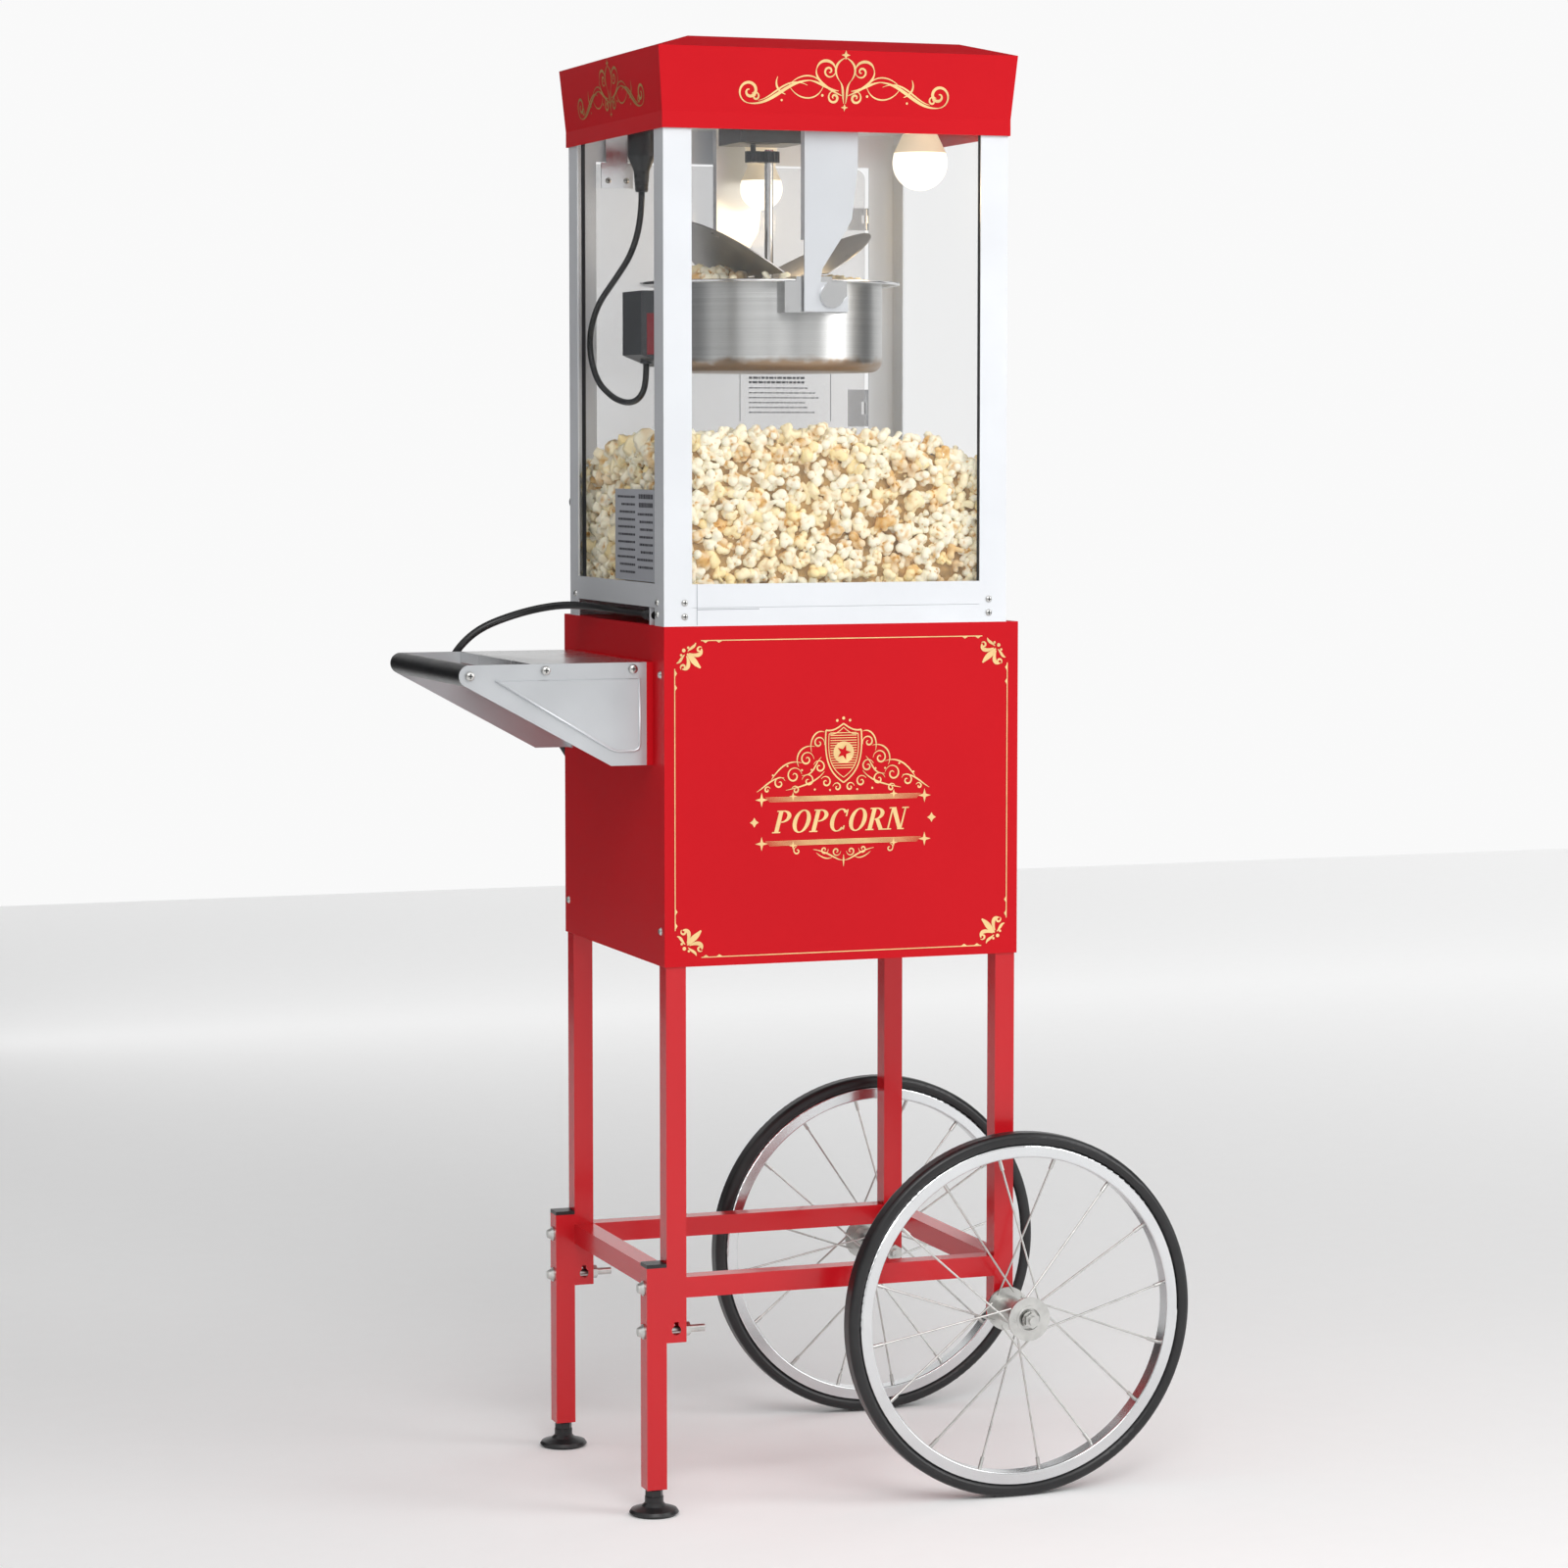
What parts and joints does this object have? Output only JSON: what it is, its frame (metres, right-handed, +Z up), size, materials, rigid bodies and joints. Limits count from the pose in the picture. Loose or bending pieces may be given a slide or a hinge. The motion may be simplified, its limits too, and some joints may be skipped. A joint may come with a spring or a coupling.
{
  "type": "popcorn cart",
  "caption": "Glass-walled popcorn popper on a storage cabinet with a tipping kettle, lids, stirring gears, rear door, side shelf with push grip, spoked wheels and levelling feet.",
  "frame": {"origin": "on the floor, under the middle of the whole cart", "axes": "+Z up, +X from the push grip towards the wheels, -Y is the glass front with the decorated cabinet face"},
  "size_m": [0.796, 0.526, 1.5575],
  "materials": {
    "red_paint": "smooth gloss paint",
    "frame_red_paint": "smooth gloss paint on tube",
    "pale_paint": "satin pale grey paint",
    "stainless": "drawn and brushed stainless steel",
    "shelf_steel": "satin steel sheet",
    "zinc": "zinc plate",
    "chrome": "bright plate",
    "rim_metal": "polished rim",
    "tyre_rubber": "solid rubber tyre",
    "black_rubber": "matt rubber",
    "black_plastic": "moulded black plastic",
    "dark_plastic": "moulded dark grey plastic",
    "cord_sheath": "grey-black cord sheath",
    "pane": "clear pane",
    "bulb_glass": "glowing white globe",
    "holder_cream": "cream plastic",
    "popcorn": "popped corn"
  },
  "bodies": {
    "root": {"legs": "frame_red_paint", "frame_rails": "frame_red_paint", "foot_tubes": "frame_red_paint", "tube_caps": "black_plastic", "foot_bolts": "zinc", "cabinet_front_panel": "red_paint", "cabinet_side_panels": "red_paint", "cabinet_deck": "red_paint", "cabinet_floor": "red_paint", "panel_screws": "zinc", "shelf_brackets": "shelf_steel", "shelf_plate": "stainless", "shelf_wall_rail": "red_paint", "grip_bar": "black_rubber", "axle_bolts": "zinc", "lower_rails": "pale_paint", "serving_deck": "stainless", "corner_posts": "pale_paint", "glass_panes": "pane", "canopy": "red_paint", "ceiling_plate": "pale_paint", "switch_bezels": "black_plastic", "bulbs": "bulb_glass", "lamp_holders": "holder_cream", "gear_motor": "dark_plastic", "kettle_arms": "shelf_steel", "popcorn_heap": "popcorn", "door_hinges": "zinc", "door_catch": "chrome", "kettle_socket": "black_plastic", "kettle_plug": "black_plastic", "kettle_cord": "cord_sheath", "strain_relief": "black_plastic", "mains_cord": "cord_sheath", "cord_coil": "cord_sheath", "mains_plug": "black_plastic"},
    "wheel_front": {"tyre_front": "tyre_rubber", "rim_front": "rim_metal", "spokes_front": "zinc", "hub_front": "zinc"},
    "wheel_rear": {"tyre_rear": "tyre_rubber", "rim_rear": "rim_metal", "spokes_rear": "zinc", "hub_rear": "zinc"},
    "kettle": {"kettle_pot": "stainless", "kettle_bridge": "stainless", "terminal_box": "dark_plastic", "kettle_popcorn": "popcorn"},
    "left_lid": {"lid_left": "stainless"},
    "right_lid": {"lid_right": "stainless"},
    "agitator": {"agitator_gear": "dark_plastic", "agitator_shaft": "chrome"},
    "drive_pinion": {"drive_gear": "dark_plastic"},
    "door": {"popper_door": "pane", "popper_door_fittings": "zinc"},
    "foot_front": {"levelling_foot_front": "black_plastic"},
    "foot_rear": {"levelling_foot_rear": "black_plastic"},
    "light_rocker": {"light_switch": "black_plastic"},
    "heat_rocker": {"heat_switch": "black_plastic"},
    "stir_rocker": {"stir_switch": "black_plastic"}
  },
  "joints": [
    {"name": "front_wheel_spin", "type": "hinge", "parent": "root", "child": "wheel_front", "pos_m": [0.2, -0.2185, 0.198], "axis": [0, 1, 0], "continuous": true},
    {"name": "rear_wheel_spin", "type": "hinge", "parent": "root", "child": "wheel_rear", "pos_m": [0.2, 0.2185, 0.198], "axis": [0, 1, 0], "continuous": true},
    {"name": "kettle_tilt", "type": "hinge", "parent": "root", "child": "kettle", "pos_m": [0.004, -0.016, 1.2885], "axis": [0, 1, 0], "range_deg": [0, 60], "deforming": ["kettle_cord"]},
    {"name": "left_lid_hinge", "type": "hinge", "parent": "kettle", "child": "left_lid", "pos_m": [-0.0355, 0, 1.3118], "axis": [0, -1, 0], "range_deg": [-50, 0]},
    {"name": "right_lid_hinge", "type": "hinge", "parent": "kettle", "child": "right_lid", "pos_m": [0.0095, 0, 1.3118], "axis": [0, 1, 0], "range_deg": [-50, 0]},
    {"name": "agitator_spin", "type": "hinge", "parent": "kettle", "child": "agitator", "pos_m": [-0.013, -0.016, 1.3], "axis": [0, 0, 1], "continuous": true},
    {"name": "drive_pinion_spin", "type": "hinge", "parent": "root", "child": "drive_pinion", "pos_m": [-0.031, -0.016, 1.442], "axis": [0, 0, 1], "continuous": true},
    {"name": "popper_door_hinge", "type": "hinge", "parent": "root", "child": "door", "pos_m": [0.1673, 0.1595, 1.2], "axis": [0, 0, -1], "range_deg": [0, 110]},
    {"name": "front_foot_screw", "type": "slide", "parent": "root", "child": "foot_front", "axis": [0, 0, -1], "range_m": [0, 0.012]},
    {"name": "rear_foot_screw", "type": "slide", "parent": "root", "child": "foot_rear", "axis": [0, 0, -1], "range_m": [0, 0.012]},
    {"name": "light_press", "type": "hinge", "parent": "root", "child": "light_rocker", "pos_m": [-0.06, 0.16214, 1.51], "axis": [-1, 0, 0], "range_deg": [0, 16]},
    {"name": "heat_press", "type": "hinge", "parent": "root", "child": "heat_rocker", "pos_m": [0.005, 0.16214, 1.51], "axis": [-1, 0, 0], "range_deg": [0, 16]},
    {"name": "stir_press", "type": "hinge", "parent": "root", "child": "stir_rocker", "pos_m": [0.07, 0.16214, 1.51], "axis": [-1, 0, 0], "range_deg": [0, 16]}
  ],
  "couplings": [
    {"joint": "drive_pinion_spin", "follows": "agitator_spin", "ratio": -1.4}
  ]
}
